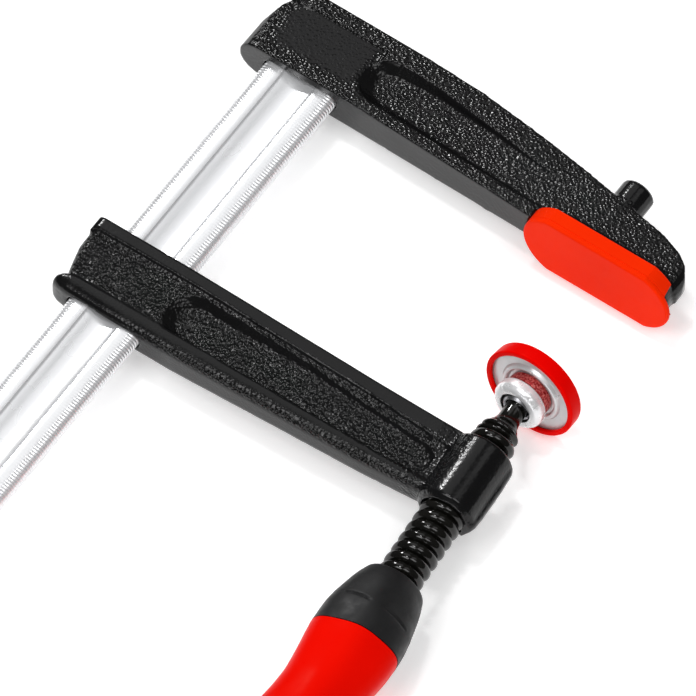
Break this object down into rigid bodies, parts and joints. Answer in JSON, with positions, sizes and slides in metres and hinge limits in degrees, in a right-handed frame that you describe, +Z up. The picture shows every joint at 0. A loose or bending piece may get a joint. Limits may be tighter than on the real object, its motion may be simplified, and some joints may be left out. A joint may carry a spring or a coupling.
{
  "type": "f clamp",
  "caption": "F clamp: grooved steel rail, black cast fixed and sliding arms, screw spindle with a two-part handle, and a ball-jointed swivel plate under a plastic cap.",
  "frame": {"origin": "middle of the fixed jaw pad's face", "axes": "+X from the rail towards the jaw tips, +Y along the rail from the handle towards the fixed arm, +Z up out of the table the clamp lies on"},
  "size_m": [0.1653, 0.2888, 0.0332],
  "materials": {
    "rail_steel": "bright zinc plated, ground faces, cross-serrated edges",
    "pin_steel": "plain spring steel",
    "black_casting": "glossy black powder coat over a pebbled casting skin",
    "red_pad": "satin orange-red plastic",
    "black_spindle": "oiled black oxide on a rolled thread",
    "ball_seat": "plain hard plastic",
    "socket_steel": "zinc plated, marked by crimping",
    "plate_steel": "zinc plated pressing, satin",
    "red_cap": "smooth red plastic",
    "soft_black": "matte soft-touch plastic",
    "red_handle": "semi-gloss hard red plastic"
  },
  "bodies": {
    "frame": {"rail": "rail_steel", "rail_end_pin": "pin_steel", "fixed_arm": "black_casting", "fixed_jaw_pad": "red_pad"},
    "slider": {"sliding_arm": "black_casting"},
    "thrust": {"ball_retaining_ring": "pin_steel"},
    "screw": {"spindle": "black_spindle", "handle_collar": "soft_black", "handle_body": "red_handle", "handle_end_cap": "soft_black"},
    "seat": {"ball_seat": "ball_seat"},
    "plate": {"ball_socket": "socket_steel", "swivel_plate": "plate_steel", "swivel_plate_cap": "red_cap"}
  },
  "joints": [
    {"name": "arm_slide", "type": "slide", "parent": "frame", "child": "slider", "axis": [0, 1, 0], "range_m": [-0.15, 0.011]},
    {"name": "spindle_travel", "type": "slide", "parent": "slider", "child": "thrust", "axis": [-0.0767, 0.9971, 0], "range_m": [-0.0135, 0.0215]},
    {"name": "spindle_turn", "type": "hinge", "parent": "thrust", "child": "screw", "pos_m": [0.00722, -0.04736, 0], "axis": [-0.0767, 0.9971, 0], "range_deg": [-1206, 1926]},
    {"name": "plate_tilt_x", "type": "hinge", "parent": "thrust", "child": "seat", "pos_m": [0.00722, -0.04736, 0], "axis": [1, 0, 0], "range_deg": [-4, 18]},
    {"name": "plate_tilt_z", "type": "hinge", "parent": "seat", "child": "plate", "pos_m": [0.00722, -0.04736, 0], "axis": [0, 0, 1], "range_deg": [-4.5, 17.5]}
  ],
  "couplings": [
    {"joint": "spindle_travel", "follows": "spindle_turn", "m_per_rad": 0.00063662}
  ]
}
